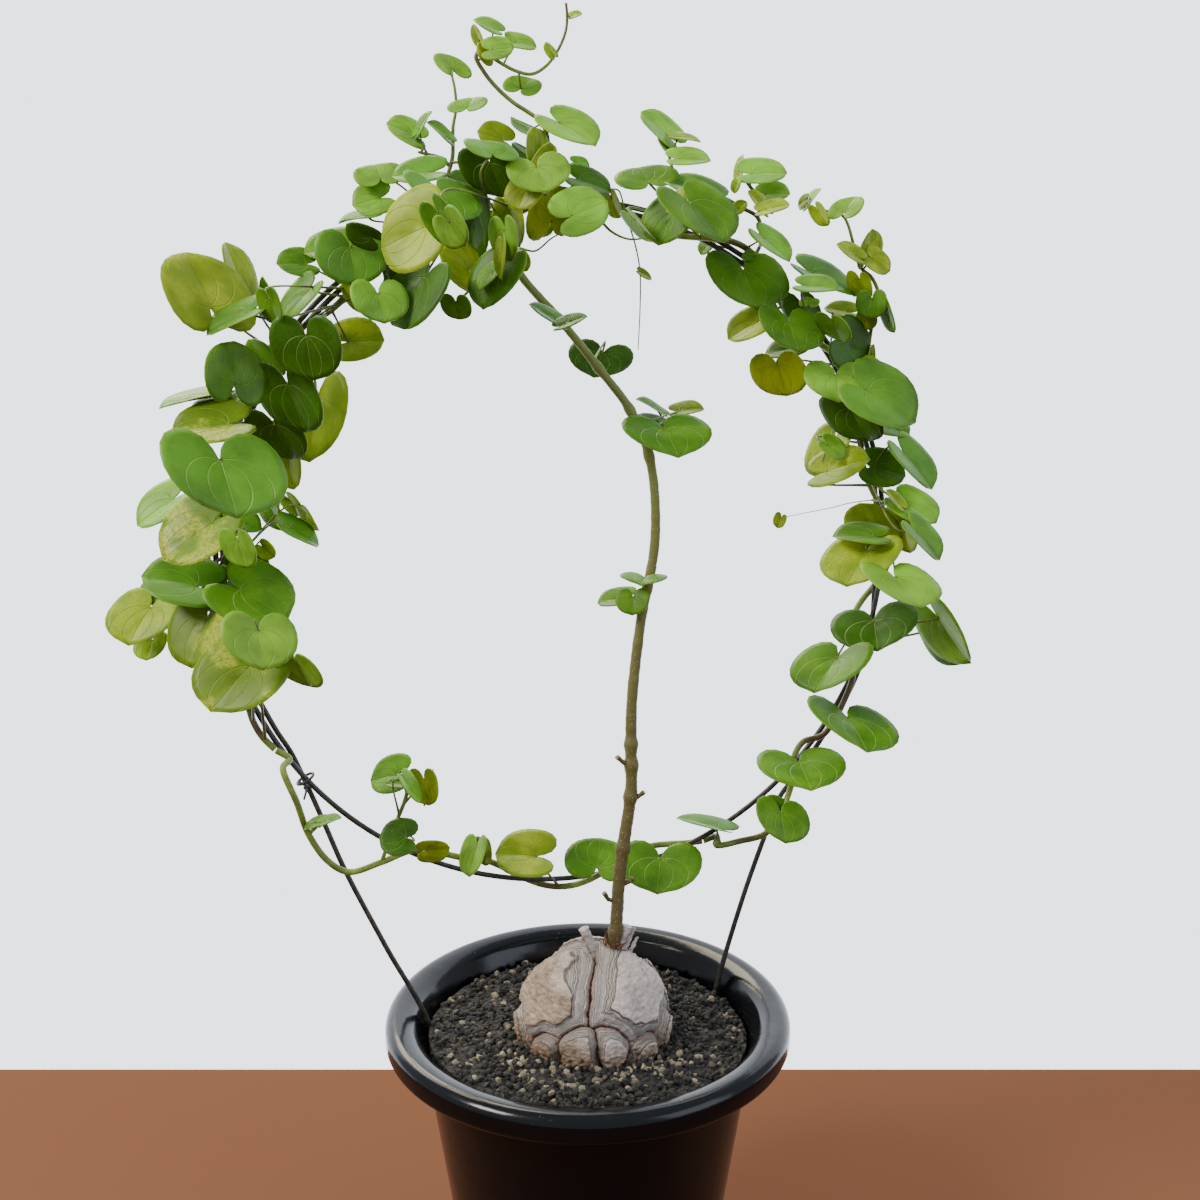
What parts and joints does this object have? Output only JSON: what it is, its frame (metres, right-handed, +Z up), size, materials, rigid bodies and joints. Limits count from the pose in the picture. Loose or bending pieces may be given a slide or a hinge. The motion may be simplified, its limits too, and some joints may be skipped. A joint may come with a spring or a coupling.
{
  "type": "potted climbing plant",
  "caption": "Caudex plant in a black pot of gravel, its twining stem and heart-shaped leaves trained round a wire ring trellis.",
  "frame": {"origin": "middle of the flat underside of the pot, where it stands", "axes": "+Z up along the pot's axis, +X to the right and -Y towards the viewer, who faces the trellis nearly square on"},
  "size_m": [0.304, 0.15, 0.4862],
  "materials": {
    "pot_plastic": "gloss",
    "gravel": "matte",
    "cork": "matte",
    "dry_scales": "matte",
    "wire": "satin",
    "tie": "matte",
    "stem": "satin",
    "foliage": "satin"
  },
  "bodies": {
    "root": {"pot": "pot_plastic", "soil": "gravel", "caudex": "cork", "crown_scales": "dry_scales", "ring_wire": "wire", "arch_wire": "wire", "tie_left": "tie", "tie_right": "tie", "tie_lower_left": "tie", "main_stem": "stem", "vine_lower_left": "foliage", "vine_bottom": "foliage", "vine_lower_right": "foliage", "vine_right_low": "foliage", "vine_right_mid": "foliage", "vine_right_high": "foliage", "shoot_right": "foliage", "hanging_shoot": "foliage", "vine_top_right": "foliage", "shoot_top_right": "foliage", "vine_top": "foliage", "shoot_top": "foliage", "vine_top_left": "foliage", "shoot_top_left": "foliage", "shoot_inner_left": "foliage", "vine_left_high": "foliage", "vine_left_mid": "foliage", "vine_left_low": "foliage", "vine_left_foot": "foliage"}
  },
  "joints": []
}
